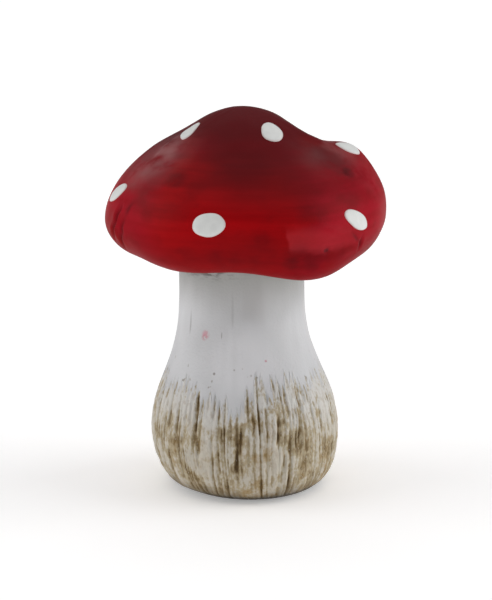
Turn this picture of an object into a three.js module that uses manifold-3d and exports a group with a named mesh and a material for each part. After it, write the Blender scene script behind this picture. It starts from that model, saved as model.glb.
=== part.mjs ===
// A painted clay toadstool ornament in the form of a fly agaric, about 200 mm tall, in mm with +Z up.
// The hollow stem stands on a flat foot ring, and its lower half is scored with upright knife strokes.
// The hollow cap sits on the stem's neck, around a spigot, and carries thick dabs of white paint.
import * as THREE from "three";
import Module from "manifold-3d";
import { mergeVertices } from "three/addons/utils/BufferGeometryUtils.js";

const wasm = await Module();
wasm.setup();

// Driving dimensions of the cap: rings of its outline, each as [radius, height]
const CROWN = [0, 200];
const BROW = [49, 177.5];
const BRIM = [72.8, 144];
const LIP = [54, 124.5];
const THROAT = [37, 132];
const CAP_WALL = 7;

// Driving dimensions of the stem
const FOOT = [30.5, 0];
const BULB = [49.5, 30];
const WAIST = [33.3, 92];
const NECK = [32.6, 131.6];
const STEM_WALL = 8;
const SPIGOT_RADIUS = 28.5;
const SPIGOT_TOP = 142;
const FOOT_HOLE_RADIUS = 19;
const JOINT_GAP = 0.3;
const FOOT_CUT = 3.6;

// Each outline is a chain of cubic curves: start, two handles, end
const CAP_OUTLINE = [
  [CROWN, [17, 200], [32, 190], BROW],
  [BROW, [65, 166], [72.8, 157], BRIM],
  [BRIM, [72.8, 134], [64, 125], LIP],
  [LIP, [47.5, 124.2], [43.5, 130.5], THROAT],
];
const STEM_OUTLINE = [
  [FOOT, [43, 0], [49.5, 13], BULB],
  [BULB, [49.5, 54], [35.6, 66], WAIST],
  [WAIST, [32.6, 100], [32.6, 115], NECK],
];

// Where the clay was pressed by hand: the spot, how far the press reaches, and how it moves the clay
const CROWN_PRESSES = [
  { at: [57, 5, 174], reach: 13, move: [3, 0, 7] },
  { at: [37, 8, 188], reach: 11, move: [-1, 0, -5] },
  { at: [-30, 0, 188], reach: 12, move: [1, 0, -3] },
  { at: [-12, 52, 172], reach: 14, move: [0, 1, 3] },
  { at: [70, -12, 138], reach: 9, move: [-1, 0, 0.4] },
  { at: [64, 0, 175], reach: 9, move: [-1.6, 0, -1.3] },
  { at: [-66, 0, 158], reach: 10, move: [1.6, 0, 0.3] },
  { at: [-40, 0, 183], reach: 12, move: [-0.8, 0, 0.8] },
  { at: [70, 0, 160], reach: 8, move: [1.3, 0, 0.2] },
];
const LIP_PRESSES = [
  { at: [32, -52, 127], reach: 17, move: [2, -2, -5.6] },
  { at: [-4, -56, 126], reach: 11, move: [0, 0, 0.6] },
  { at: [-36, -50, 126], reach: 16, move: [0, -1, -2] },
  { at: [-30, 50, 127], reach: 17, move: [-1, 1, -3.5] },
  { at: [36, 48, 127], reach: 14, move: [0, 0, 2] },
  { at: [-54, -33, 129], reach: 12, move: [0.6, 0, 1] },
];
const CAP_SHIFT = -0.28;
const CROWN_SHIFT = -1.9;

// The dabs of paint: azimuth in degrees, distance down from the crown, size across and down, and turn
const SPOTS = [
  { azimuth: 298.6, down: 32.5, across: 11.3, along: 16.1, turn: 22 },
  { azimuth: 207.8, down: 32.1, across: 19.2, along: 8.8, turn: 54 },
  { azimuth: 122, down: 33, across: 13, along: 14, turn: -20 },
  { azimuth: 42, down: 31, across: 11.5, along: 14, turn: 10 },
  { azimuth: 355.3, down: 58.2, across: 15.9, along: 10.3, turn: 59 },
  { azimuth: 98, down: 61, across: 15, along: 12.5, turn: 25 },
  { azimuth: 199.4, down: 81.9, across: 18.6, along: 8.8, turn: -30 },
  { azimuth: 255.8, down: 90.8, across: 16.4, along: 12.1, turn: -8 },
  { azimuth: 319.3, down: 91.4, across: 8.6, along: 18.6, turn: -62 },
  { azimuth: 23, down: 88, across: 14.5, along: 12, turn: -10 },
  { azimuth: 76, down: 92, across: 12.5, along: 15, turn: 12 },
  { azimuth: 141, down: 87, across: 15.5, along: 13, turn: -25 },
];
const SPOT_THICKNESS = 0.7;
const SPOT_SIDES = 14;

// Knife strokes round the bulb: each has a ridge column and a groove column
const STROKE_COUNT = 96;
const SHALLOWEST_STROKE = 0.5;
const DEEPEST_STROKE = 1.7;

// The strokes end in a ragged hem at this height, which dips where the white paint runs down between them
const HEM_HEIGHT = 67;
const HEM_RAGGEDNESS = 7;
const HEM_DIPS = [
  { azimuth: 259, width: 13, drop: 15 },
  { azimuth: 208, width: 16, drop: 4 },
  { azimuth: 20, width: 18, drop: 9 },
  { azimuth: 88, width: 14, drop: 14 },
  { azimuth: 155, width: 20, drop: 7 },
];

const GILL_COUNT = 48;
const GILL_DEPTH = 1.6;
const CAP_COLUMNS = 2 * GILL_COUNT;
const CAP_RINGS = 22;
const CAVITY_COLUMNS = 36;
const TURN = 2 * Math.PI;

const RED = new THREE.MeshStandardMaterial({ color: 0x9c1119, roughness: 0.42, metalness: 0 });
const STEM_WHITE = new THREE.MeshStandardMaterial({ color: 0xd2cdc2, roughness: 0.7, metalness: 0 });
const SPOT_WHITE = new THREE.MeshStandardMaterial({ color: 0xe6e4e0, roughness: 0.5, metalness: 0 });

// Helpers

const smoothstep = THREE.MathUtils.smoothstep;

function seededRandom(seed) {
  let state = seed;
  return () => {
    state = (state * 1664525 + 1013904223) % 4294967296;
    return state / 4294967296;
  };
}

function pathOf(outline) {
  const path = new THREE.CurvePath();
  for (const corners of outline) {
    path.add(new THREE.CubicBezierCurve(...corners.map(([r, z]) => new THREE.Vector2(r, z))));
  }
  return path;
}

function pointsAlong(path, steps) {
  return Array.from({ length: steps + 1 }, (_, i) => path.getPoint(i / steps));
}

// Turns an outline of [radius, height] points round the Z axis, then moves each vertex by shape(point)
function turned(points, columns, shape) {
  const geometry = new THREE.LatheGeometry(points, columns);
  geometry.rotateX(Math.PI / 2);
  const position = geometry.getAttribute("position");
  const point = new THREE.Vector3();
  for (let i = 0; i < position.count; i++) {
    point.fromBufferAttribute(position, i);
    shape(point);
    position.setXYZ(i, point.x, point.y, point.z);
  }
  return geometry;
}

function solidFrom(geometry) {
  const bare = new THREE.BufferGeometry();
  bare.setAttribute("position", geometry.getAttribute("position"));
  bare.setIndex(geometry.index);
  const merged = mergeVertices(bare, 1e-3);
  const vertProperties = merged.getAttribute("position").array;
  const triVerts = new Uint32Array(merged.index.array);
  return new wasm.Manifold(new wasm.Mesh({ numProp: 3, vertProperties, triVerts }));
}

function meshOf(solid, name, material) {
  const { vertProperties, triVerts } = solid.getMesh();
  const geometry = new THREE.BufferGeometry();
  geometry.setAttribute("position", new THREE.BufferAttribute(new Float32Array(vertProperties), 3));
  geometry.setIndex(new THREE.BufferAttribute(new Uint32Array(triVerts), 1));
  geometry.computeVertexNormals();
  const mesh = new THREE.Mesh(geometry, material);
  mesh.name = name;
  return mesh;
}

// Hand shaping shared by the pieces

// The stem's centreline wanders a little to the side as it goes up
function stemCentre(z) {
  return 0.7 - 1.5 * smoothstep(z, 0, 32) - 1.4 * smoothstep(z, 50, 100);
}

function press(point, start, { at, reach, move }, share) {
  const away = start.distanceToSquared(new THREE.Vector3(...at));
  point.addScaledVector(new THREE.Vector3(...move), share * Math.exp(-away / (2 * reach * reach)));
}

// The presses fade out near the neck, so the cap still sits flat on the stem
function shapeCap(point) {
  const start = point.clone();
  const radius = Math.hypot(start.x, start.y);
  const clearOfNeck = smoothstep(radius, 36, 50);
  for (const one of CROWN_PRESSES) press(point, start, one, 1);
  for (const one of LIP_PRESSES) press(point, start, one, clearOfNeck);
  point.x += CAP_SHIFT + CROWN_SHIFT * smoothstep(start.z, 165, CROWN[1]);
}

function columnOf(point, columns) {
  const turns = Math.atan2(point.y, point.x) / TURN + 1;
  return Math.round(turns * columns) % columns;
}

// Cap: a hollow shell with a rolled lip and low gills on its underside

const capPath = pathOf(CAP_OUTLINE);

function capShell() {
  const outline = [...pointsAlong(capPath, CAP_RINGS), new THREE.Vector2(0, THROAT[1])];
  const gilled = (point) => {
    const radius = Math.hypot(point.x, point.y);
    const underside = point.z < THROAT[1] + 1 && radius < LIP[0];
    const groove = columnOf(point, CAP_COLUMNS) % 2;
    const fade = smoothstep(radius, THROAT[0] + 1, THROAT[0] + 4) * (1 - smoothstep(radius, 47, LIP[0]));
    shapeCap(point);
    if (underside) point.z += GILL_DEPTH * groove * fade;
  };
  return solidFrom(turned(outline.reverse(), CAP_COLUMNS, gilled));
}

function capCavity() {
  const inset = [
    [[0, CROWN[1] - CAP_WALL], [16, CROWN[1] - CAP_WALL], [30, 183], [45, 171.5]],
    [[45, 171.5], [59, 161], [BRIM[0] - CAP_WALL, 153], [BRIM[0] - CAP_WALL, BRIM[1]]],
    [[BRIM[0] - CAP_WALL, BRIM[1]], [BRIM[0] - CAP_WALL, 137], [61, 132.5], [54, 132.5]],
    [[54, 132.5], [48, 132.5], [42, 137], [THROAT[0], THROAT[1] + CAP_WALL]],
  ];
  const outline = [...pointsAlong(pathOf(inset), 14), new THREE.Vector2(0, THROAT[1] + CAP_WALL)];
  return solidFrom(turned(outline.reverse(), CAVITY_COLUMNS, shapeCap));
}

function socket() {
  const radius = SPIGOT_RADIUS + JOINT_GAP;
  const hole = [[0, 120], [radius, 120], [radius, 150], [0, 150]].map(([r, z]) => new THREE.Vector2(r, z));
  const centred = (point) => {
    point.x += stemCentre(NECK[1]);
  };
  return solidFrom(turned(hole, CAVITY_COLUMNS * 2, centred));
}

// Stem: a hollow bulb and neck, scored with upright knife strokes from the foot to the hem

const random = seededRandom(7);
const between = (low, high) => low + (high - low) * random();
const STROKES = Array.from({ length: STROKE_COUNT }, () => ({
  depth: between(SHALLOWEST_STROKE, DEEPEST_STROKE),
  foot: between(1, 8),
  hem: between(-HEM_RAGGEDNESS, HEM_RAGGEDNESS),
  lean: between(-0.35, 0.35),
  wander: between(-0.3, 0.3),
  phase: between(0, TURN),
}));

function hemHeight(azimuth) {
  let height = HEM_HEIGHT;
  for (const dip of HEM_DIPS) {
    const away = Math.cos(azimuth - THREE.MathUtils.degToRad(dip.azimuth)) - 1;
    height -= dip.drop * Math.exp(away / THREE.MathUtils.degToRad(dip.width) ** 2);
  }
  return height;
}

// Even columns are ridges and odd ones are grooves, each leaning to one side and wandering as it climbs,
// and the foot is rounded further in on the left
function scoreStem(point) {
  const radius = Math.hypot(point.x, point.y);
  const azimuth = Math.atan2(point.y, point.x);
  const column = columnOf(point, 2 * STROKE_COUNT);
  const stroke = STROKES[Math.floor(column / 2)];
  const top = hemHeight(azimuth) + stroke.hem;
  const starts = smoothstep(point.z, stroke.foot - 1, stroke.foot + 6);
  const ends = 1 - smoothstep(point.z, top - 15, top);
  const strength = radius > FOOT[0] + 1 ? starts * ends : 0;
  const cut = stroke.depth * (column % 2 ? 1 - 0.25 * Math.sin(point.z / 5 + stroke.phase) : 0.12);
  const pitch = TURN / STROKE_COUNT;
  const sway = (column % 2) * stroke.lean + stroke.wander * Math.sin(point.z / 11 + stroke.phase);
  const newRadius = radius - strength * cut;
  const newAzimuth = azimuth + 0.5 * strength * sway * pitch;
  const offCentre = FOOT_CUT * (1 - smoothstep(point.z, 0, 5.5)) * (0.5 - 0.5 * Math.cos(azimuth));
  point.x = newRadius * Math.cos(newAzimuth) + stemCentre(point.z) + offCentre;
  point.y = newRadius * Math.sin(newAzimuth);
}

function stemBody() {
  const spigot = [
    [SPIGOT_RADIUS, NECK[1]],
    [SPIGOT_RADIUS, SPIGOT_TOP - 1.5],
    [SPIGOT_RADIUS - 1.5, SPIGOT_TOP],
    [0, SPIGOT_TOP],
  ].map(([r, z]) => new THREE.Vector2(r, z));
  const [foot, bulb, neck] = pathOf(STEM_OUTLINE).curves;
  const body = [...foot.getPoints(6), ...bulb.getPoints(9).slice(1), ...neck.getPoints(3).slice(1)];
  const outline = [new THREE.Vector2(0, 0), ...body, ...spigot];
  return solidFrom(turned(outline, 2 * STROKE_COUNT, scoreStem));
}

function stemCavity() {
  const inside = [
    [0, -5],
    [FOOT_HOLE_RADIUS, -5],
    [FOOT_HOLE_RADIUS, STEM_WALL - 1],
    [FOOT_HOLE_RADIUS + 2, STEM_WALL],
    [31, STEM_WALL + 1.5],
    [37.5, 15],
    [BULB[0] - STEM_WALL, 27],
    [BULB[0] - STEM_WALL - 1, 40],
    [36, 54],
    [29.5, 70],
    [WAIST[0] - STEM_WALL, 88],
    [NECK[0] - STEM_WALL - 1, 105],
    [SPIGOT_RADIUS - STEM_WALL + 1, 128],
    [SPIGOT_RADIUS - STEM_WALL + 1, SPIGOT_TOP + 5],
    [0, SPIGOT_TOP + 5],
  ].map(([r, z]) => new THREE.Vector2(r, z));
  const centred = (point) => {
    point.x += stemCentre(point.z);
  };
  return solidFrom(turned(inside, CAVITY_COLUMNS, centred));
}

// Spots: low domed dabs with an uneven edge, lying on the cap's surface

const capLength = capPath.getLength();

// The point of the cap's surface at an azimuth and a distance down from the crown, raised by lift
function onCap(azimuth, down, lift) {
  const at = (a, d) => {
    const { x: radius, y: height } = capPath.getPoint(d / capLength);
    const point = new THREE.Vector3(radius * Math.cos(a), radius * Math.sin(a), height);
    shapeCap(point);
    return point;
  };
  const here = at(azimuth, down);
  const across = at(azimuth + 0.01, down).sub(at(azimuth - 0.01, down));
  const along = at(azimuth, down + 0.5).sub(at(azimuth, down - 0.5));
  return here.addScaledVector(along.cross(across).normalize(), lift);
}

function spotGeometry({ azimuth, down, across, along, turn }, next) {
  const middle = THREE.MathUtils.degToRad(azimuth);
  const tilt = THREE.MathUtils.degToRad(turn);
  const ringRadius = capPath.getPoint(down / capLength).x;
  const [lobes, depth, phase] = [2 + Math.floor(2 * next()), 0.035 * next(), TURN * next()];
  const place = (share, angle, lift) => {
    const reach = share * (1 + depth * Math.cos(lobes * angle + phase));
    const u = (reach * across * Math.cos(angle)) / 2;
    const v = (reach * along * Math.sin(angle)) / 2;
    const sideways = u * Math.cos(tilt) - v * Math.sin(tilt);
    const downwards = u * Math.sin(tilt) + v * Math.cos(tilt);
    return onCap(middle + sideways / ringRadius, down + downwards, JOINT_GAP + lift);
  };
  // Rings from the middle of the underside, out to the edge, and back to the middle of the top
  const rings = [
    [0, 0],
    [0.5, 0],
    [0.95, 0],
    [1, 0.3 * SPOT_THICKNESS],
    [0.9, 0.75 * SPOT_THICKNESS],
    [0.5, SPOT_THICKNESS],
    [0, SPOT_THICKNESS],
  ];
  const points = [];
  const faces = [];
  for (const [share, lift] of rings) {
    for (let i = 0; i < SPOT_SIDES; i++) points.push(place(share, (TURN * i) / SPOT_SIDES, lift));
  }
  for (let ring = 0; ring < rings.length - 1; ring++) {
    for (let i = 0; i < SPOT_SIDES; i++) {
      const j = (i + 1) % SPOT_SIDES;
      const [a, b] = [ring * SPOT_SIDES + i, ring * SPOT_SIDES + j];
      if (rings[ring][0]) faces.push(a, a + SPOT_SIDES, b);
      if (rings[ring + 1][0]) faces.push(b, a + SPOT_SIDES, b + SPOT_SIDES);
    }
  }
  const geometry = new THREE.BufferGeometry().setFromPoints(points);
  geometry.setIndex(faces);
  return geometry;
}

// Assembly

const toadstool = new THREE.Group();
const cap = capShell().subtract(capCavity()).subtract(socket());
const stem = stemBody().subtract(stemCavity());
toadstool.add(meshOf(stem, "stem", STEM_WHITE), meshOf(cap, "cap", RED));

const spotRandom = seededRandom(23);
SPOTS.forEach((spot, i) => {
  const number = String(i + 1).padStart(2, "0");
  toadstool.add(meshOf(solidFrom(spotGeometry(spot, spotRandom)), `spot_${number}`, SPOT_WHITE));
});

export default toadstool;
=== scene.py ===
import math

import bmesh
import bpy
import numpy as np
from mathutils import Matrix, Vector


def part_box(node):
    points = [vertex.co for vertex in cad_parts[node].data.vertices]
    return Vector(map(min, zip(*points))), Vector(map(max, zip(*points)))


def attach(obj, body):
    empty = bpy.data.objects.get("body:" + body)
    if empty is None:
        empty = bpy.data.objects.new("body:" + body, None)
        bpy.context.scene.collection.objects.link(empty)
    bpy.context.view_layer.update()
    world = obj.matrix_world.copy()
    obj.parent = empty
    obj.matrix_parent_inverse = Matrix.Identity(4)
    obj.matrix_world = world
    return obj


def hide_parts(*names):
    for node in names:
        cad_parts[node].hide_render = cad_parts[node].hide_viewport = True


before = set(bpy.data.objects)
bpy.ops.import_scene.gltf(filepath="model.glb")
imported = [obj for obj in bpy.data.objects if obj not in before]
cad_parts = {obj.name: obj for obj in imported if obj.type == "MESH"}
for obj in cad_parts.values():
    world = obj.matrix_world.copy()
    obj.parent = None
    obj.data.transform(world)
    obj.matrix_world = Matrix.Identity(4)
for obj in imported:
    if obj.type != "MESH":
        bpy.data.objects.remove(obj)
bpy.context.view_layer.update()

# The stem
# A hollow cast of pale clay, open underneath, fat at the foot and thin at the neck, where a spigot holds the
# cap. The lower half is scored with upright knife strokes, then the whole is painted white and the strokes
# are rubbed with a brown wash.

TURN = 2 * math.pi
# Rings of the outline, each as radius and height
FOOT = (0.0305, 0)
BULB = (0.0495, 0.030)
WAIST = (0.0333, 0.092)
NECK = (0.0326, 0.1316)
SPIGOT_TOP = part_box("stem")[1][2]
# The foot is rounded this much further in on the left
FOOT_CUT = 0.0036
# Curves of the outline: start, two handles and end
STEM_CURVES = [
    [FOOT, (0.043, 0), (0.0495, 0.013), BULB],
    [BULB, (0.0495, 0.054), (0.0356, 0.066), WAIST],
    [WAIST, (0.0326, 0.100), (0.0326, 0.115), NECK],
]
# The spigot, and the wall of the hollow down to the hole in the foot
STEM_INSIDE = [
    (0.0285, NECK[1]),
    (0.0285, SPIGOT_TOP - 0.0015),
    (0.0270, SPIGOT_TOP),
    (0.0215, SPIGOT_TOP),
    (0.0215, 0.128),
    (0.0236, 0.105),
    (0.0253, 0.088),
    (0.0295, 0.070),
    (0.0360, 0.054),
    (0.0405, 0.040),
    (0.0415, 0.027),
    (0.0375, 0.015),
    (0.0310, 0.0095),
    (0.0210, 0.008),
    (0.0190, 0.007),
    (0.0190, 0),
]
STROKE_COUNT = 96
COLUMNS_PER_STROKE = 7
NICK_COUNT = 168
HEM_HEIGHT = 0.067
HEM_RAGGEDNESS = 0.0055
# Where the hem dips: azimuth, width in degrees and drop
HEM_DIPS = [
    (250, 8, 0.010),
    (263, 7, 0.009),
    (291, 9, 0.0035),
    (208, 16, 0.004),
    (20, 18, 0.009),
    (88, 14, 0.014),
    (155, 20, 0.007),
]
# Deep single cuts: azimuth and height at the top and at the foot, width and depth
DEEP_CUTS = [
    (269.5, 0.043, 263.9, 0.020, 0.0014, 0.0012),
    (237.7, 0.058, 240.8, 0.028, 0.0010, 0.0009),
    (308.0, 0.056, 305.0, 0.030, 0.0010, 0.0009),
    (254.0, 0.049, 257.0, 0.034, 0.0010, 0.0008),
    (223.0, 0.052, 226.0, 0.030, 0.0009, 0.0008),
    (296.0, 0.034, 292.0, 0.014, 0.0011, 0.0009),
    (33.0, 0.054, 30.0, 0.026, 0.0011, 0.0009),
    (74.0, 0.042, 78.0, 0.018, 0.0012, 0.0010),
    (126.0, 0.056, 122.0, 0.030, 0.0010, 0.0009),
    (172.0, 0.050, 175.0, 0.024, 0.0011, 0.0009),
]


# The cuts are laid out on the bulb at this radius, and fade out over this much beyond each end
CUT_RADIUS = 0.047
CUT_TAIL = 0.003

STEPS_PER_CURVE = 300
RING_SPACING = 0.00105
NECK_RINGS = 14


def soft(low, high, value):
    """0 below low, 1 above high, and a smooth rise between them."""
    share = np.clip((value - low) / (high - low), 0, 1)
    return share * share * (3 - 2 * share)


def drawn(curves):
    """Distance along, radius and height at close steps along a chain of curves: start, two handles, end."""
    t = np.linspace(0, 1, STEPS_PER_CURVE)[:, None]
    points = np.concatenate(
        [
            (1 - t) ** 3 * start + 3 * (1 - t) ** 2 * t * out + 3 * (1 - t) * t**2 * back + t**3 * end
            for start, out, back, end in np.array(curves, dtype=float)
        ]
    )
    run = np.concatenate([[0], np.cumsum(np.hypot(*np.diff(points, axis=0).T))])
    return run, points[:, 0], points[:, 1]


def ripple(azimuth, up, cells_round, cell_height, seed):
    """Soft random relief from -1 to 1, with so many cells round the piece, each so high."""
    rows = 512
    grid = np.random.default_rng(seed).uniform(-1, 1, (cells_round, rows))
    across = np.mod(azimuth / TURN, 1) * cells_round
    along = up / cell_height
    i, j = np.floor(across).astype(int), np.floor(along).astype(int)
    u, v = soft(0, 1, across - i), soft(0, 1, along - j)

    def corner(di, dj):
        return grid[(i + di) % cells_round, (j + dj) % rows]

    low = corner(0, 0) * (1 - u) + corner(1, 0) * u
    high = corner(0, 1) * (1 - u) + corner(1, 1) * u
    return low * (1 - v) + high * v


def draws(seed):
    """The same run of random numbers from 0 to 1 each time, one after another."""
    state = seed
    while True:
        state = (state * 1664525 + 1013904223) % 2**32
        yield state / 2**32


def skin(name, rings, marks, joined=False):
    """A mesh over rings of points, with named values at each. Joined, its last ring meets its first."""
    count, columns, _ = rings.shape
    here = np.arange(count * columns).reshape(count, columns)
    beside = np.roll(here, -1, axis=1)
    quads = np.stack([here, beside, np.roll(beside, -1, axis=0), np.roll(here, -1, axis=0)], axis=-1)
    if not joined:
        quads = quads[:-1]
    mesh = bpy.data.meshes.new(name)
    mesh.from_pydata(rings.reshape(-1, 3).tolist(), [], quads.reshape(-1, 4).tolist())
    for mark, values in marks.items():
        vector = values.ndim == 3
        layer = mesh.attributes.new(mark, "FLOAT_VECTOR" if vector else "FLOAT", "POINT")
        layer.data.foreach_set("vector" if vector else "value", values.astype(np.float32).ravel())
    work = bmesh.new()
    work.from_mesh(mesh)
    # The rings at the crown and in the middle of each dab have shrunk to a point
    bmesh.ops.remove_doubles(work, verts=work.verts, dist=1e-7)
    bmesh.ops.recalc_face_normals(work, faces=work.faces)
    work.to_mesh(mesh)
    work.free()
    mesh.shade_smooth()
    piece = bpy.data.objects.new(name, mesh)
    bpy.context.scene.collection.objects.link(piece)
    return piece


def stem_centre(height):
    """How far the stem's centreline leans to the side at a height."""
    return 0.0007 - 0.0015 * soft(0, 0.032, height) - 0.0014 * soft(0.050, 0.100, height)


def hem_height(azimuth):
    """Where the strokes end, dipping where the white paint runs down between them."""
    height = np.full_like(azimuth, HEM_HEIGHT)
    for at, width, drop in HEM_DIPS:
        away = np.cos(azimuth - math.radians(at)) - 1
        height -= drop * np.exp(away / math.radians(width) ** 2)
    return height


def deep_cuts(azimuth, height):
    """How deep the single cuts go at each point."""
    deep = np.zeros_like(height)
    for top_azimuth, top, foot_azimuth, foot, width, cut in DEEP_CUTS:
        share = np.clip((top - height) / (top - foot), 0, 1)
        wavy = 0.006 * np.sin(height / 0.0035)
        line = math.radians(top_azimuth) + share * math.radians(foot_azimuth - top_azimuth) + wavy
        aside = ((azimuth - line + math.pi) % TURN - math.pi) * CUT_RADIUS
        beyond = height - top + share * (top - foot)
        swell = 0.55 + 0.45 * np.sin(math.pi * share)
        deep += cut * np.exp(-((aside / width) ** 2) - (beyond / CUT_TAIL) ** 2) * swell
    return deep


def knife_strokes(azimuth, height):
    """How deep the strokes cut, how far they swing the clay aside, and how strong they are, at each point."""
    draw = draws(7)
    cut_by_hand = np.array([[next(draw) for _ in range(6)] for _ in range(STROKE_COUNT)]).T
    depths, feet, hems, leans, wanders, phases = cut_by_hand

    # Which stroke each point is in, how near it is to the stroke's own middle, and how far up the stroke goes
    place = azimuth / TURN * STROKE_COUNT + 0.30 * ripple(azimuth, height, 26, 0.014, 11)
    stroke = np.floor(place).astype(int) % STROKE_COUNT
    share = place - np.floor(place)
    middle = 0.5 + 0.35 * (leans[stroke] - 0.5)
    notch = np.where(share < middle, share / middle, (1 - share) / (1 - middle))
    narrowed = notch ** (0.7 + 2.0 * phases[stroke])
    top = hem_height(azimuth) + HEM_RAGGEDNESS * (2 * hems[stroke] - 1) + 0.006 * (notch - 0.6)
    begins = soft(0.004 * feet[stroke] - 0.001, 0.004 * feet[stroke] + 0.003, height)
    strength = begins * (1 - soft(top - 0.007, top, height))

    # The knife lifts and bites again on its way down
    own = (stroke + 0.5) * TURN / STROKE_COUNT
    bite = ripple(own, height + 0.02 * wanders[stroke], STROKE_COUNT, 0.012, 19)
    broken = 0.06 + 0.94 * soft(-0.45, 0.35, bite)
    depth = (0.0002 + 0.0011 * depths[stroke]) * broken * soft(0, 1, narrowed)

    nick_place = azimuth / TURN * NICK_COUNT + 0.5 * ripple(azimuth, height, 44, 0.016, 17)
    nick = 1 - np.abs(2 * (nick_place - np.floor(nick_place)) - 1)
    nicks = 0.00055 * soft(0.1, 1, nick) * soft(-0.1, 0.5, ripple(azimuth, height, 84, 0.012, 18))
    gouged = 0.00050 * soft(0.25, 0.8, ripple(azimuth, height, 58, 0.011, 13))
    chipped = 0.00020 * ripple(azimuth, height, 250, 0.0018, 14)
    chipped += 0.00015 * ripple(azimuth, height, 190, 0.005, 12)
    carved = strength * (depth + nicks + gouged + chipped) + deep_cuts(azimuth, height) * begins
    sway = 0.18 * (2 * wanders[stroke] - 1) * np.sin(height / 0.014 + TURN * phases[stroke])
    return carved, strength * sway * TURN / STROKE_COUNT / 2, strength


run, radii, heights = drawn(STEM_CURVES)
waist_along = np.interp(WAIST[1], heights, run)
scored = np.arange(0, waist_along, RING_SPACING)
smooth_neck = np.linspace(waist_along, run[-1], NECK_RINGS)
steps = np.concatenate([scored, smooth_neck])
inside = np.array(STEM_INSIDE)
ring_radius = np.concatenate([np.interp(steps, run, radii), inside[:, 0]])
ring_height = np.concatenate([np.interp(steps, run, heights), inside[:, 1]])
outside = np.arange(len(ring_radius)) < len(steps)

column_count = STROKE_COUNT * COLUMNS_PER_STROKE
azimuth, radius = np.meshgrid(np.arange(column_count) * TURN / column_count, ring_radius)
height = np.broadcast_to(ring_height[:, None], azimuth.shape)
# The knife works the outside alone, and leaves the flat foot as it is
worked = (outside[:, None] & (radius > FOOT[0] + 0.001)).astype(float)
cut, swing, strength = knife_strokes(azimuth, height)
hand = 0.00022 * ripple(azimuth, height, 9, 0.024, 15) + 0.00008 * ripple(azimuth, height, 34, 0.008, 16)
hand *= soft(0.004, 0.020, height) * soft(NECK[1], 0.126, height)
turned_radius = radius - worked * (cut - hand)
turned_azimuth = azimuth + worked * swing
off_centre = FOOT_CUT * outside[:, None] * (1 - soft(0, 0.0055, height)) * (0.5 - 0.5 * np.cos(azimuth))
stem_rings = np.stack(
    [
        turned_radius * np.cos(turned_azimuth) + stem_centre(height) + off_centre,
        turned_radius * np.sin(turned_azimuth),
        height,
    ],
    axis=-1,
)
# Where each point would be if the stem were a straight roll, which keeps the grain of the paint upright
ROLL_RADIUS = 0.040
along = np.broadcast_to(np.concatenate([steps, np.full(len(inside), run[-1])])[:, None], azimuth.shape)
on_roll = np.stack([ROLL_RADIUS * np.cos(azimuth), ROLL_RADIUS * np.sin(azimuth), along], axis=-1)
stem = skin(
    "stem_body",
    stem_rings,
    {
        "on_roll": on_roll,
        "cut": worked * cut / 0.0012,
        "scored": worked * strength,
        "outside": np.broadcast_to(outside[:, None], azimuth.shape).astype(float),
    },
    joined=True,
)


def tint(red, green, blue):
    """A paint colour, given as it looks on a screen from 0 to 255, as the shader wants it."""
    shown = np.array([red, green, blue]) / 255
    linear = np.where(shown <= 0.04045, shown / 12.92, ((shown + 0.055) / 1.055) ** 2.4)
    return (*linear.tolist(), 1.0)


class Wire:
    """A socket of a finish. Sums on wires add the nodes that work them out."""

    def __init__(self, finish, socket):
        self.finish = finish
        self.socket = socket

    def sum(self, operation, *values):
        return self.finish.node("Math", {"operation": operation}, dict(enumerate(values)))

    def __add__(self, other):
        return self.sum("ADD", self, other)

    def __radd__(self, other):
        return self.sum("ADD", other, self)

    def __sub__(self, other):
        return self.sum("SUBTRACT", self, other)

    def __rsub__(self, other):
        return self.sum("SUBTRACT", other, self)

    def __mul__(self, other):
        return self.sum("MULTIPLY", self, other)

    def __rmul__(self, other):
        return self.sum("MULTIPLY", other, self)


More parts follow.
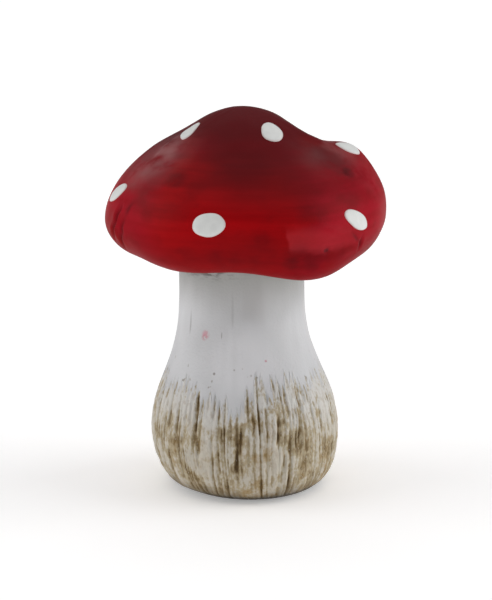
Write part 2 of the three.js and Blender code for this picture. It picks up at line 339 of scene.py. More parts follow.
class Finish:
    """A paint or bare surface, built node by node."""

    def __init__(self, name, tree=None):
        if tree is None:
            self.material = bpy.data.materials.new(name)
            self.material.use_nodes = True
            tree = self.material.node_tree
        self.tree = tree
        self.tree.nodes.clear()

    def node(self, kind, settings=None, sockets=None, output=0):
        """Adds a node, sets it up, then gives its sockets their values or wires."""
        made = self.tree.nodes.new("ShaderNode" + kind)
        for key, value in (settings or {}).items():
            setattr(made, key, value)
        for key, value in (sockets or {}).items():
            if isinstance(value, Wire):
                self.tree.links.new(value.socket, made.inputs[key])
            else:
                made.inputs[key].default_value = value
        return Wire(self, made.outputs[output])

    def mark(self, name, output="Fac"):
        """A value that the mesh carries."""
        return self.node("Attribute", {"attribute_name": name}, {}, output)

    def grain(self, where, stretch, detail=2.0):
        """Cloudy noise from 0 to 1, with so many lumps to the metre along each axis."""
        at = self.node("VectorMath", {"operation": "MULTIPLY"}, {0: where, 1: stretch})
        return self.node("TexNoise", {}, {"Vector": at, "Scale": 1.0, "Detail": detail})

    def soft(self, low, high, value):
        """0 below low, 1 above high, and a smooth rise between them."""
        settings = {"interpolation_type": "SMOOTHSTEP"}
        return self.node("MapRange", settings, {"Value": value, "From Min": low, "From Max": high})

    def mix(self, share, under, over):
        """One colour laid over another."""
        return self.node("Mix", {"data_type": "RGBA"}, {0: share, 6: under, 7: over}, 2)

    def blot(self, where, at, size):
        """1 at a place and 0 beyond size from it, with a soft edge."""
        away = self.node("VectorMath", {"operation": "DISTANCE"}, {0: where, 1: at}, "Value")
        return 1 - self.soft(0.3 * size, size, away)

    def bump(self, height, distance):
        """The relief that a height in the range 0 to 1 gives, up to distance metres."""
        return self.node("Bump", {}, {"Height": height, "Distance": distance, "Strength": 1.0}, "Normal")

    def end(self, kind, shader):
        """Wires a shader to the output node of that kind."""
        out = self.tree.nodes.new("ShaderNodeOutput" + kind)
        self.tree.links.new(shader.socket, out.inputs["Surface"])

    def surface(self, sockets):
        """Ends the material with the shader that has these sockets."""
        self.end("Material", self.node("BsdfPrincipled", {}, sockets))


def on_stem(azimuth, height):
    """A place on the stem's outside, from its azimuth in degrees and its height."""
    turn = math.radians(azimuth)
    radius = float(np.interp(height, heights, radii))
    return (radius * math.cos(turn) + float(stem_centre(height)), radius * math.sin(turn), height)


white = Finish("stem paint")
in_stem = white.node("TexCoord", output="Object")
round_stem = white.mark("on_roll", "Vector")
scores = white.mark("scored")
up_from_floor = white.node("SeparateXYZ", {}, {0: in_stem}, "Z")
streak = white.grain(round_stem, (640, 640, 180), 3.0)
patch = white.grain(round_stem, (80, 80, 45), 2.0)
dabbed = white.grain(round_stem, (190, 190, 190), 2.0)
drips = white.grain(round_stem, (75, 75, 9), 2.0)
cloud = white.grain(in_stem, (38, 38, 22), 2.0)
fleck = white.grain(in_stem, (700, 700, 700), 2.0)
chips = white.grain(in_stem, (900, 900, 420), 2.0)

# The neck: white with grey paint streaks, painted shade greying it towards the rim under the cap,
# and a painted pool of light low on the front where it flares out over the bulb
neck_colour = white.mix(white.soft(0.35, 0.75, cloud), tint(213, 214, 216), tint(199, 200, 202))
neck_colour = white.mix(0.30 * white.soft(0.45, 0.72, drips), neck_colour, tint(186, 186, 189))
# Painted shade: the neck turns grey towards the rim, where the cap overhangs it
cap_shade_on_neck = white.soft(0.091, 0.120, up_from_floor + 0.008 * (cloud - 0.5) + 0.004 * (drips - 0.5))
neck_colour = white.mix(0.80 * cap_shade_on_neck, neck_colour, tint(156, 156, 153))
# A painted pool of light: paler white low on the front, where the neck flares out towards the overhead light
painted_light_low_front = white.blot(in_stem, on_stem(268, 0.073), 0.026) * white.soft(0.2, 0.6, drips)
neck_colour = white.mix(0.8 * painted_light_low_front, neck_colour, tint(232, 233, 236))
# Painted shade: a grey patch high on the front of the neck
painted_shade_front_neck = white.blot(in_stem, on_stem(283, 0.105), 0.014) * white.soft(0.3, 0.6, drips)
neck_colour = white.mix(0.35 * painted_shade_front_neck, neck_colour, tint(176, 174, 174))
# A dark grey-brown band just under the rim, and where it is heavier: azimuth, height, size and share
UNDER_RIM_DARK = [(226, 0.118, 0.022, 0.55), (252, 0.118, 0.014, 0.35)]
ragged = white.soft(0.45, 0.66, white.grain(round_stem, (150, 150, 620), 3.0))
under_rim = white.soft(0.1135, 0.1190, up_from_floor + 0.004 * (cloud - 0.5)) * ragged
under_rim_darkness = 0.12
for azimuth, height, size, share in UNDER_RIM_DARK:
    under_rim_darkness = under_rim_darkness + share * white.blot(in_stem, on_stem(azimuth, height), size)
neck_colour = white.mix(under_rim * under_rim_darkness, neck_colour, tint(98, 92, 88))
# Dots of wash spattered just above the strokes
dots = white.soft(0.72, 0.77, white.grain(in_stem, (330, 330, 200), 1.0))
strewn = dots * (1 - white.soft(0.062, 0.078, up_from_floor))
neck_colour = white.mix(0.6 * strewn, neck_colour, tint(126, 112, 90))

# The bulb: pale ridge tops, and brown wash left in the strokes
ridge_tops = white.mix(
    white.soft(0.026, 0.056, up_from_floor + 0.03 * (patch - 0.5)), tint(199, 192, 178), tint(211, 209, 204)
)
stains = white.soft(0.50, 0.66, white.grain(in_stem, (480, 480, 260), 2.0))
ridge_tops = white.mix(0.30 * stains, ridge_tops, tint(164, 146, 124))
ridge_tops = white.mix(white.soft(0.15, 1.0, scores + 0.5 * (chips - 0.5)), neck_colour, ridge_tops)
low_down = 1 - white.soft(0.004, 0.026, up_from_floor + 0.012 * (patch - 0.5))
# Where the wash was left thicker, or wiped thinner: azimuth, height, size and share
WASH_PATCHES = [
    (214, 0.035, 0.016, 0.40),
    (224, 0.026, 0.013, 0.36),
    (238, 0.030, 0.010, 0.22),
    (234, 0.0150, 0.012, 0.50),
    (235, 0.0380, 0.010, 0.30),
    (249, 0.0500, 0.010, -0.42),
    (249, 0.0180, 0.010, -0.22),
    (264, 0.0400, 0.008, 0.52),
    (264, 0.013, 0.013, 0.30),
    (279, 0.0500, 0.010, -0.26),
    (279, 0.0390, 0.010, -0.26),
    (279, 0.0160, 0.013, -0.34),
    (279, 0.0060, 0.010, -0.30),
    (272, 0.0370, 0.007, 0.18),
    (293, 0.0500, 0.010, 0.44),
    (293, 0.0130, 0.010, -0.16),
    (309, 0.0370, 0.011, 0.36),
    (309, 0.0250, 0.012, 0.42),
    (309, 0.0140, 0.011, 0.32),
    (332, 0.0240, 0.012, 0.32),
    (239.5, 0.0230, 0.010, -0.50),
    (294, 0.0262, 0.009, -0.45),
    (305, 0.0520, 0.014, -0.20),
    (228, 0.0480, 0.010, -0.20),
    (265, 0.034, 0.008, 0.25),
    (297, 0.040, 0.008, 0.25),
    (284, 0.015, 0.009, 0.30),
    (318, 0.028, 0.012, 0.20),
    (20, 0.024, 0.014, 0.25),
    (70, 0.030, 0.013, 0.25),
    (118, 0.018, 0.014, 0.30),
    (168, 0.030, 0.013, 0.25),
]
how_deep = white.mark("cut")
rubbed = 0.82 * how_deep + 0.75 * (streak - 0.5) + 0.7 * (patch - 0.5) + 1.1 * (dabbed - 0.5)
rubbed = rubbed + 1.4 * (chips - 0.5) + 0.28 * low_down + 0.45 * white.soft(0.90, 1.25, how_deep)
for azimuth, height, size, share in WASH_PATCHES:
    rubbed = rubbed + share * white.blot(in_stem, on_stem(azimuth, height), size)
at_foot = 1 - white.soft(0.001, 0.006, up_from_floor)
washed = (white.soft(0.02, 0.5, scores) + at_foot - at_foot * white.soft(0.02, 0.5, scores)) * rubbed
coloured = white.mix(0.85 * white.soft(0.10, 0.55, washed), ridge_tops, tint(172, 156, 124))
coloured = white.mix(0.85 * white.soft(0.50, 1.10, washed), coloured, tint(120, 98, 62))
coloured = white.mix(0.85 * white.soft(1.05, 1.7, washed), coloured, tint(76, 56, 31))
ochre = white.soft(0.50, 0.68, 0.5 * patch + 0.5 * dabbed) * (1 - white.soft(0.026, 0.058, up_from_floor))
coloured = white.mix(0.50 * ochre, coloured, tint(156, 124, 68))
chipped_off = white.soft(0.66, 0.72, chips) * white.soft(0.1, 0.4, washed)
coloured = white.mix(0.55 * chipped_off, coloured, tint(208, 202, 190))
coloured = white.mix(white.soft(0.0, 0.15, scores + at_foot), neck_colour, coloured)
# Specks and smudges left on the neck: azimuth, height, size, share and colour
NECK_MARKS = [
    (236.8, 0.0868, 0.0030, 0.55, (206, 112, 132)),
    (235.2, 0.0852, 0.0022, 0.45, (196, 104, 122)),
    (288.3, 0.0746, 0.0009, 0.70, (196, 96, 118)),
    (247.6, 0.0681, 0.0010, 0.70, (112, 100, 90)),
    (275.4, 0.0679, 0.0008, 0.60, (120, 106, 94)),
    (279.7, 0.0668, 0.0008, 0.60, (120, 106, 94)),
    (263.0, 0.0705, 0.0007, 0.50, (130, 120, 110)),
]
for azimuth, height, size, share, colour in NECK_MARKS:
    smudge = white.blot(in_stem, on_stem(azimuth, height), size) * white.soft(0.30, 0.50, fleck)
    coloured = white.mix(share * smudge, coloured, tint(*colour))
# Fine upright scratches, sixteen times as tall as they are wide: azimuth, height, width and share
DRAWN_OUT = np.array([1, 1, 1 / 16])
SCRATCHES = [
    (218.0, 0.0905, 0.0009, 0.4),
    (252.2, 0.0874, 0.0004, 0.6),
    (262.0, 0.0990, 0.0009, 0.2),
]
drawn_down = white.node("VectorMath", {"operation": "MULTIPLY"}, {0: in_stem, 1: tuple(DRAWN_OUT)})
for azimuth, height, size, share in SCRATCHES:
    scratch = white.blot(drawn_down, tuple(on_stem(azimuth, height) * DRAWN_OUT), size)
    coloured = white.mix(share * scratch, coloured, tint(128, 126, 124))
# Dirt along the foot, a dark grey line along its bottom edge, and bare clay inside
soiled = 1 - white.soft(0.0020, 0.0110, up_from_floor + 0.016 * (patch - 0.5) + 0.008 * (chips - 0.5))
coloured = white.mix(0.70 * soiled, coloured, tint(100, 82, 56))
foot_edge = 1 - white.soft(0.0020, 0.0056, up_from_floor + 0.0020 * (fleck - 0.5))
coloured = white.mix(0.90 * foot_edge, coloured, tint(66, 60, 52))
coloured = white.mix(1 - white.mark("outside"), coloured, tint(150, 138, 122))
relief = (0.5 * streak + 0.6 * chips) * white.soft(0.0, 0.3, scores + at_foot) + 0.3 * fleck
white.surface(
    {
        "Base Color": coloured,
        "Roughness": 0.62 + 0.2 * white.soft(0.2, 0.7, washed),
        "Specular IOR Level": 0.3,
        "Normal": white.bump(relief, 0.0006),
    }
)
stem.data.materials.append(white.material)
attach(stem, "root")
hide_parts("stem")

# The cap
# A hollow clay shell pressed out of round by hand, with a rolled lip and low gills underneath, luted to
# the neck. It is brushed with satin red paint, darkened with a maroon wash from the crown down, and painted
# off-white underneath.

# Rings of the outline, each as radius and height
CROWN = (0, 0.200)
BROW = (0.049, 0.1775)
BRIM = (0.0728, 0.144)
LIP = (0.054, 0.1245)
THROAT = (0.037, 0.132)
# Curves of the outline: start, two handles and end
CAP_CURVES = [
    [CROWN, (0.017, 0.200), (0.032, 0.190), BROW],
    [BROW, (0.065, 0.166), (0.0728, 0.157), BRIM],
    [BRIM, (0.0728, 0.134), (0.064, 0.125), LIP],
    [LIP, (0.0475, 0.1242), (0.0435, 0.1305), THROAT],
]
# The socket round the spigot, and the wall of the hollow up to the crown
CAP_INSIDE = [
    (0.0289, 0.132),
    (0.0289, 0.139),
    (0.036, 0.139),
    (0.048, 0.1345),
    (0.058, 0.134),
    (0.065, 0.139),
    (0.0658, 0.150),
    (0.060, 0.160),
    (0.045, 0.1715),
    (0.028, 0.184),
    (0.014, 0.191),
    (0, 0.193),
]
# Where hands pressed the clay: the place, how far the press reaches, how it moves the clay, and whether it
# fades out near the neck
PRESSES = [
    ((0.057, 0.005, 0.174), 0.013, (0.003, 0, 0.007), False),
    ((0.037, 0.008, 0.188), 0.011, (-0.001, 0, -0.005), False),
    ((-0.030, 0, 0.188), 0.012, (0.001, 0, -0.003), False),
    ((-0.012, 0.052, 0.172), 0.014, (0, 0.001, 0.003), False),
    ((0.032, -0.052, 0.127), 0.017, (0.002, -0.002, -0.0056), True),
    ((-0.004, -0.056, 0.126), 0.011, (0, 0, 0.0006), True),
    ((-0.036, -0.050, 0.126), 0.016, (0, -0.001, -0.002), True),
    ((-0.030, 0.050, 0.127), 0.017, (-0.001, 0.001, -0.0035), True),
    ((0.036, 0.048, 0.127), 0.014, (0, 0, 0.002), True),
    ((-0.054, -0.033, 0.129), 0.012, (0.0006, 0, 0.0010), True),
    ((0.070, -0.012, 0.138), 0.009, (-0.0010, 0, 0.0004), False),
    ((0.064, 0, 0.175), 0.009, (-0.0016, 0, -0.0013), False),
    ((-0.066, 0, 0.158), 0.010, (0.0016, 0, 0.0003), False),
    ((-0.040, 0, 0.183), 0.012, (-0.0008, 0, 0.0008), False),
    ((0.070, 0, 0.160), 0.008, (0.0013, 0, 0.0002), False),
]
# How far the whole cap sits to the side, and how much further its crown leans
CAP_SHIFT = -0.00028
CROWN_SHIFT = -0.0019
GILL_COUNT = 48
COLUMNS_PER_GILL = 10
CAP_RING_SPACING = 0.00115
GILL_DEPTH = 0.0016
# Creases: azimuth and distance down the cap at each end, width and depth
CREASES = [
    (209.5, 0.0870, 207, 0.0975, 0.0017, 0.0019),
    (207, 0.0965, 201, 0.1060, 0.0019, 0.0019),
    (214, 0.0935, 212.5, 0.1000, 0.0011, 0.0008),
    (212.5, 0.0995, 206.5, 0.1110, 0.0014, 0.0014),
    (217, 0.0840, 214.5, 0.0910, 0.0016, 0.0003),
    (322, 0.1005, 321, 0.1055, 0.0013, 0.0012),
    (315, 0.0965, 320.5, 0.1020, 0.0014, 0.0005),
]
# Soft folds pinched up: azimuth and distance down at each end, width and height
FOLDS = [
    (210.5, 0.0930, 206.5, 0.1040, 0.0015, 0.0008),
    (205, 0.036, 214, 0.066, 0.0042, 0.0011),
    (222, 0.030, 226, 0.046, 0.0040, 0.0005),
    (300, 0.091, 312, 0.096, 0.0040, 0.0005),
    (338, 0.036, 346, 0.052, 0.0045, 0.0007),
    (62, 0.040, 70, 0.064, 0.0050, 0.0009),
    (135, 0.050, 143, 0.070, 0.0045, 0.0007),
]
# Dimples: azimuth, distance down, size and depth
DIMPLES = [
    (302.0, 0.1016, 0.0015, 0.0008),
    (329, 0.067, 0.0028, 0.0007),
    (120, 0.078, 0.0024, 0.0006),
]

cap_run, cap_radii, cap_heights = drawn(CAP_CURVES)


def pressed(points):
    """The cap's points after the maker's hands have pressed it out of round."""
    clear_of_neck = soft(0.036, 0.050, np.hypot(points[..., 0], points[..., 1]))
    moved = points.copy()
    for at, reach, move, at_lip in PRESSES:
        share = np.exp(-np.sum((points - at) ** 2, axis=-1) / (2 * reach * reach))
        if at_lip:
            share = share * clear_of_neck
        moved += share[..., None] * np.array(move)
    moved[..., 0] += CAP_SHIFT + CROWN_SHIFT * soft(0.165, CROWN[1], points[..., 2])
    return moved


def cap_relief(azimuth, down):
    """The cap's small lumps, creases, folds and dimples, and how deep in a crease each point is."""
    relief = 0.00034 * ripple(azimuth, down, 11, 0.026, 21) + 0.00016 * ripple(azimuth, down, 30, 0.010, 22)
    creased = np.zeros_like(relief)
    radius = np.interp(down, cap_run, cap_radii)
    for line, (from_azimuth, start, to_azimuth, end, width, depth) in enumerate(CREASES + FOLDS):
        share = np.clip((down - start) / (end - start), 0, 1)
        middle = math.radians(from_azimuth) + share * math.radians(to_azimuth - from_azimuth)
        aside = (azimuth - middle + math.pi) % TURN - math.pi
        wander = 0.0004 * np.sin(down / 0.0013 + line)
        away = np.hypot(aside * radius + wander, down - start - share * (end - start))
        fade = 0.35 + 0.65 * np.sin(math.pi * share)
        bend = fade * np.exp(-((away / width) ** 2))
        if line < len(CREASES):
            relief += depth * (0.40 * fade * np.exp(-((away / (3 * width)) ** 2)) - bend)
            creased += bend
        else:
            relief += depth * bend
    for middle, at, size, depth in DIMPLES:
        aside = (azimuth - math.radians(middle) + math.pi) % TURN - math.pi
        away = np.hypot(aside * radius, down - at)
        relief -= depth * np.exp(-((away / size) ** 2))
        creased += 0.7 * np.exp(-((away / size) ** 2))
    return relief * soft(0, 0.025, down), creased


def cap_surface(azimuth, down, lift=0.0):
    """Points of the cap's outside at each azimuth and distance down from the crown, raised by lift."""
    radius = np.interp(down, cap_run, cap_radii)
    height = np.interp(down, cap_run, cap_heights)
    # The outline's slope, from a short step either way, gives the direction that stands square to the clay
    step = 0.0006
    steep = np.interp(down + step, cap_run, cap_heights) - np.interp(down - step, cap_run, cap_heights)
    level = np.interp(down + step, cap_run, cap_radii) - np.interp(down - step, cap_run, cap_radii)
    size = np.hypot(steep, level)
    out, up = -steep / size, level / size
    raised = cap_relief(azimuth, down)[0] + lift
    around = np.stack([np.cos(azimuth), np.sin(azimuth), np.zeros_like(azimuth)], axis=-1)
    points = pressed(radius[..., None] * around + height[..., None] * np.array([0, 0, 1]))
    return points + (raised * out)[..., None] * around + (raised * up)[..., None] * np.array([0, 0, 1])


cap_column_count = COLUMNS_PER_GILL * GILL_COUNT
cap_columns = np.arange(cap_column_count) * TURN / cap_column_count
cap_steps = np.arange(0, cap_run[-1], CAP_RING_SPACING)
cap_steps[-1] = cap_run[-1]
azimuth, down = np.meshgrid(cap_columns, cap_steps)
cap_outside = cap_surface(azimuth, down)
radius = np.interp(down, cap_run, cap_radii)
gill = 0.5 - 0.5 * np.cos(GILL_COUNT * azimuth)
between_rims = soft(THROAT[0] + 0.001, THROAT[0] + 0.004, radius) * (1 - soft(0.047, LIP[0], radius))
# The lip is where the third curve of the outline ends
lip_down = cap_run[3 * STEPS_PER_CURVE - 1]
underneath = (down > lip_down).astype(float)
cap_outside[..., 2] += GILL_DEPTH * underneath * between_rims * gill**1.5

cap_inside = np.array(CAP_INSIDE)
inner_azimuth, inner_radius = np.meshgrid(cap_columns, cap_inside[:, 0])
inner_height = np.broadcast_to(cap_inside[:, 1][:, None], inner_azimuth.shape)
inner_across = [inner_radius * np.cos(inner_azimuth), inner_radius * np.sin(inner_azimuth)]
inner = pressed(np.stack([*inner_across, inner_height], axis=-1))
# The socket follows the stem's lean
inner[:2, :, 0] += stem_centre(NECK[1])
# As on the stem, a straight roll keeps the grain of the paint level round the cap
CAP_ROLL_RADIUS = 0.060
cap_along = np.concatenate([down, np.full_like(inner_azimuth, cap_run[-1])])
cap_azimuth = np.concatenate([azimuth, inner_azimuth])
roll_across = [CAP_ROLL_RADIUS * np.cos(cap_azimuth), CAP_ROLL_RADIUS * np.sin(cap_azimuth)]
cap = skin(
    "cap_shell",
    np.concatenate([cap_outside, inner]),
    {
        "on_roll": np.stack([*roll_across, cap_along], axis=-1),
        "down": cap_along,
        "creased": np.concatenate([cap_relief(azimuth, down)[1], np.zeros_like(inner_azimuth)]),
        "gilled": np.concatenate([underneath * between_rims * gill, np.zeros_like(inner_azimuth)]),
    },
)


def on_cap(azimuth, down):
    """A place on the cap's outside, from its azimuth in degrees and its distance down from the crown."""
    return tuple(float(x) for x in cap_surface(np.array(math.radians(azimuth)), np.array(down)))


red = Finish("cap paint")
in_cap = red.node("TexCoord", output="Object")
round_cap = red.mark("on_roll", "Vector")
from_crown = red.mark("down")
brushed = red.grain(round_cap, (26, 26, 240), 3.0)
clouds = red.grain(in_cap, (22, 22, 30), 2.0)
mottle = red.grain(in_cap, (70, 70, 105), 3.0)
fine = red.grain(in_cap, (900, 900, 900), 2.0)
# The dark wash ends higher on the left, and runs lower in the middle of the front
wash = from_crown + 0.040 * (clouds - 0.5) + 0.014 * (mottle - 0.5) + 0.004 * (brushed - 0.5)
wash = wash + 0.008 * red.blot(in_cap, on_cap(220, 0.060), 0.038)
wash = wash - 0.015 * red.blot(in_cap, on_cap(285, 0.074), 0.036)
crown = 1 - red.soft(0.034, 0.096, wash)
# Painted shade: the lower band of the cap, turned down away from the overhead light, is painted a darker red
painted_shade_low = red.soft(0.088, 0.108, from_crown + 0.022 * (clouds - 0.5) + 0.006 * (mottle - 0.5))
scarlet = red.blot(in_cap, on_cap(262, 0.088), 0.060) + red.soft(0.55, 0.75, clouds)
crimson = red.mix(red.soft(0.3, 0.7, brushed), tint(154, 7, 24), tint(166, 12, 32))
bright = red.mix(red.soft(0.3, 0.7, brushed), tint(158, 5, 11), tint(172, 9, 15))
paint = red.mix(red.soft(0.0, 0.8, scarlet), crimson, bright)
paint = red.mix(0.45 * red.soft(0.48, 0.74, mottle), paint, tint(126, 8, 14))
# Painted shade on the lower band of the cap
paint = red.mix(0.60 * painted_shade_low, paint, tint(116, 6, 12))
paint = red.mix(0.94 * crown, paint, tint(83, 8, 14))
# Darker patches: painted shade in the pit near the lip (the first two), a dark spot in the dimple on the
# right (azimuth 332), and thicker patches of the dark wash (the rest): azimuth, distance down, size and share
DARK_PATCHES = [
    (301.2, 0.1018, 0.0012, 1.50),
    (302.2, 0.1016, 0.0012, 1.50),
    (248, 0.0620, 0.0180, 0.22),
    (330, 0.0540, 0.0170, 0.28),
    (321, 0.0735, 0.0160, 0.20),
    (290, 0.1050, 0.0110, 0.32),
    (299, 0.1065, 0.0100, 0.34),
    (308, 0.1045, 0.0070, 0.22),
    (235, 0.0685, 0.0085, 0.45),
    (332, 0.0670, 0.0050, 0.60),
    (287.5, 0.1080, 0.0055, 0.45),
    (268, 0.0570, 0.0200, 0.22),
    (326, 0.0550, 0.0200, 0.25),
    (318, 0.0470, 0.0170, 0.20),
    (222, 0.0640, 0.0200, 0.20),
    (226, 0.0800, 0.0150, 0.20),
    (240, 0.0860, 0.0120, 0.22),
    (276, 0.1045, 0.0130, 0.22),
    (297, 0.0860, 0.0120, 0.32),
    (262, 0.1090, 0.0120, 0.25),
    (40, 0.0640, 0.0120, 0.50),
    (110, 0.0900, 0.0100, 0.40),
    (160, 0.1050, 0.0080, 0.40),
]
# Painted sheen, pale pinkish grey, on the upper left and upper right of the cap, given the same way
PAINTED_SHEEN_PATCHES = [
    (211, 0.0470, 0.014, 0.30),
    (214, 0.0590, 0.014, 0.22),
    (208, 0.0700, 0.014, 0.16),
    (348, 0.0470, 0.013, 0.30),
    (345, 0.0580, 0.010, 0.15),
]
# Painted sheen, broad and greyish, on the shoulders of the cap, given the same way
PAINTED_GREY_SHEEN_PATCHES = [
    (313, 0.0495, 0.016, 0.11),
    (328, 0.0530, 0.016, 0.09),
    (316, 0.0620, 0.016, 0.06),
    (208, 0.0640, 0.018, 0.11),
    (222, 0.0720, 0.016, 0.07),
    (60, 0.0550, 0.018, 0.25),
    (130, 0.0700, 0.018, 0.25),
]


def daubed(paint, patches, ragged, colour):
    """Paint with patches of a colour over it, each broken up by a ragged mask."""
    for azimuth, at, size, share in patches:
        daub = red.blot(in_cap, on_cap(azimuth, at), size) * ragged
        paint = red.mix(share * daub, paint, colour)
    return paint


paint = daubed(paint, DARK_PATCHES, red.soft(0.25, 0.55, mottle), tint(66, 10, 16))
# Painted shade: darker maroon in the creases and dimples
paint = red.mix(0.55 * red.mark("creased"), paint, tint(58, 8, 14))
# A painted highlight: a band of paler red low on the front right, near the rim, with a crisp left edge
across = red.node("SeparateXYZ", {}, {0: round_cap}, "X")
highlight_down = from_crown + 0.007 * (mottle - 0.5)
highlight_along = across - 0.20 * (from_crown - 0.0935) + 0.003 * (mottle - 0.5)
painted_highlight = red.soft(0.0148, 0.0162, highlight_along) * (1 - red.soft(0.030, 0.052, highlight_along))
painted_highlight = painted_highlight * red.soft(0.0885, 0.0960, highlight_down) * (1 - red.soft(0.1005, 0.1045, highlight_down))
highlight_reach = red.soft(0.0, 0.3, red.blot(in_cap, on_cap(300, 0.0970), 0.045))
paint = red.mix(0.18 * painted_highlight * highlight_reach, paint, tint(232, 78, 88))
paint = daubed(paint, PAINTED_SHEEN_PATCHES, red.soft(0.30, 0.70, mottle), tint(178, 122, 122))
paint = daubed(paint, PAINTED_GREY_SHEEN_PATCHES, red.soft(0.10, 0.80, mottle), tint(138, 98, 98))
# Off-white underneath, with brown wash in the gills
edge = from_crown + 0.004 * (mottle - 0.5) + 0.002 * (fine - 0.5)
paint = red.mix(red.soft(lip_down + 0.0012, lip_down + 0.0026, edge), paint, tint(208, 203, 194))
paint = red.mix(0.6 * red.mark("gilled"), paint, tint(150, 128, 98))
# Where the satin varnish lies thickest, given the same way
VARNISHED = [(209, 0.056, 0.030, 0.40), (346, 0.068, 0.022, 0.20), (85, 0.070, 0.035, 0.35)]
varnish = 0.07 - 0.03 * red.soft(0.080, 0.100, from_crown)
for azimuth, at, size, share in VARNISHED:
    varnish = varnish + share * red.blot(in_cap, on_cap(azimuth, at), size) * red.soft(0.30, 0.55, mottle)
red.surface(
    {
        "Base Color": paint,
        "Roughness": 0.44 + 0.10 * clouds,
        "Specular IOR Level": 0.02,
        "Coat Weight": varnish,
        "Coat Roughness": 0.36,
        "Normal": red.bump(0.12 * brushed + 0.35 * mottle + 0.12 * fine, 0.0004),
    }
)
cap.data.materials.append(red.material)
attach(cap, "root")
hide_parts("cap")

# The spots
# Thick white acrylic paint, dabbed on with a fingertip or a round brush, so each stands a little proud with a
# rounded edge and an uneven outline. The red shows through faintly where the paint thins out at its rim.

SPOT_THICKNESS = 0.0008
# Azimuth in degrees, distance down from the crown, size across and along, and turn in degrees
SPOTS = [
    (298.6, 0.0325, 0.0113, 0.0161, 22),
    (207.8, 0.0321, 0.0192, 0.0088, 54),
    (122, 0.0330, 0.0130, 0.0140, -20),
    (42, 0.0310, 0.0115, 0.0140, 10),
    (355.3, 0.0582, 0.0159, 0.0103, 59),
    (98, 0.0610, 0.0150, 0.0125, 25),
    (199.4, 0.0819, 0.0186, 0.0088, -30),
    (255.8, 0.0908, 0.0164, 0.0121, -8),
    (319.3, 0.0914, 0.0086, 0.0186, -62),
    (23, 0.0880, 0.0145, 0.0120, -10),
    (76, 0.0920, 0.0125, 0.0150, 12),
    (141, 0.0870, 0.0155, 0.0130, -25),
]

dab_paint = Finish("spot paint")
smear = dab_paint.grain(dab_paint.node("TexCoord", output="Object"), (260, 260, 260), 3.0)
thin = dab_paint.soft(0.84, 1.0, dab_paint.mark("share"))
dab_colour = dab_paint.mix(dab_paint.soft(0.3, 0.7, smear), tint(226, 227, 225), tint(220, 221, 219))
dab_colour = dab_paint.mix(0.35 * thin, dab_colour, tint(196, 120, 120))
dab_paint.surface(
    {"Base Color": dab_colour, "Roughness": 0.42 + 0.12 * smear, "Normal": dab_paint.bump(smear, 0.00014)}
)

SPOT_COLUMNS = 64
SPOT_RINGS = 18
spot_rings = np.linspace(0, 1, SPOT_RINGS) ** 0.7
lobe_draw = draws(23)
for number, (azimuth, down, across, along, turn) in enumerate(SPOTS, 1):
    lobes = 2 + math.floor(2 * next(lobe_draw))
    swell = 0.035 * next(lobe_draw)
    phase = TURN * next(lobe_draw)
    angle, share = np.meshgrid(np.arange(SPOT_COLUMNS) * TURN / SPOT_COLUMNS, spot_rings)
    uneven = 1 + swell * np.cos(lobes * angle + phase) + 0.014 * np.cos(5 * angle + 2 * phase)
    u = 0.5 * across * share * uneven * np.cos(angle)
    v = 0.5 * along * share * uneven * np.sin(angle)
    tilt = math.radians(turn)
    sideways = u * math.cos(tilt) - v * math.sin(tilt)
    downwards = u * math.sin(tilt) + v * math.cos(tilt)
    radius = np.interp(down, cap_run, cap_radii)
    # Domed to a thin rim that is sunk into the clay, so that no gap shows under it
    lift = SPOT_THICKNESS * (1 - share**5) ** 0.7 - 0.00025 * (share > 0.999)
    lift += 0.00006 * np.sin(3 * angle + phase) * share * (1 - share)
    rings = cap_surface(math.radians(azimuth) + sideways / radius, down + downwards, lift)
    dab = skin(f"dab_{number:02d}", rings, {"share": share})
    dab.data.materials.append(dab_paint.material)
    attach(dab, "root")
    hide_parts(f"spot_{number:02d}")

# The floor
# A plain white sweep of seamless paper, wide enough to fill the view from every side.

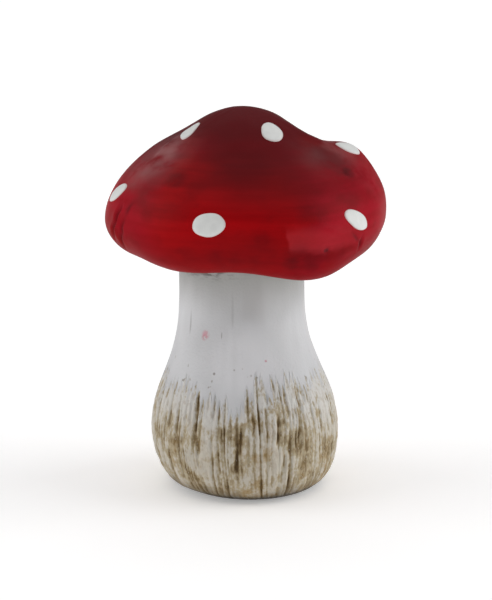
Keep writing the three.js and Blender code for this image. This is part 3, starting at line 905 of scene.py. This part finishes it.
REACH = 15.0
floor_mesh = bpy.data.meshes.new("floor")
corners = [(-REACH, -REACH, 0), (REACH, -REACH, 0), (REACH, REACH, 0), (-REACH, REACH, 0)]
floor_mesh.from_pydata(corners, [], [(0, 1, 2, 3)])
floor = bpy.data.objects.new("floor", floor_mesh)
bpy.context.scene.collection.objects.link(floor)
paper = Finish("white paper")
paper.surface(
    {
        "Base Color": tint(250, 250, 250),
        "Roughness": 0.9,
        "Emission Color": tint(255, 255, 255),
        "Emission Strength": 0.28,
    }
)
floor_mesh.materials.append(paper.material)

# The lights
# A white tent, brightest behind the piece and dim in front of it, with a wide soft light overhead and a
# softly lit panel on either side.

# Each light: the direction that it shines from, its strength, and how wide it looks in degrees
SOFT_LIGHTS = [
    ("left_light", (-0.95, -0.05, 0.36), 1.00, 50),
    ("right_light", (0.95, -0.02, 0.36), 1.35, 50),
    ("overhead", (0, 0.15, 1), 1.00, 90),
]
for name, shines_from, strength, width in SOFT_LIGHTS:
    lamp = bpy.data.lights.new(name, "SUN")
    lamp.energy = strength
    lamp.angle = math.radians(width)
    light = bpy.data.objects.new(name, lamp)
    light.location = shines_from
    light.rotation_euler = Vector(shines_from).to_track_quat("Z", "Y").to_euler()
    bpy.context.scene.collection.objects.link(light)

tent = bpy.data.worlds.new("white tent")
tent.use_nodes = True
walls = Finish("white tent", tent.node_tree)
depth = walls.node("SeparateXYZ", {}, {0: walls.node("TexCoord", output="Generated")}, "Y")
walls.end("World", walls.node("Background", {}, {"Strength": 0.22 + 0.16 * walls.soft(-0.6, 0.9, depth)}))
bpy.context.scene.world = tent
bpy.context.scene.view_settings.view_transform = "Standard"

# The camera
# A long lens a little above the cap, looking down on the middle of the piece.

EYE_DISTANCE = 0.9
LOOK_DOWN = math.radians(12.5)
LOOK_AT_HEIGHT = 0.0985
FOCAL_LENGTH_MM = 103.06
lens = bpy.data.cameras.new("camera")
lens.lens = FOCAL_LENGTH_MM
lens.sensor_width = 36
lens.clip_end = 100
camera = bpy.data.objects.new("camera", lens)
camera.location = (
    0,
    -EYE_DISTANCE * math.cos(LOOK_DOWN),
    LOOK_AT_HEIGHT + EYE_DISTANCE * math.sin(LOOK_DOWN),
)
camera.rotation_euler = (math.pi / 2 - LOOK_DOWN, 0, 0)
bpy.context.scene.collection.objects.link(camera)
bpy.context.scene.camera = camera
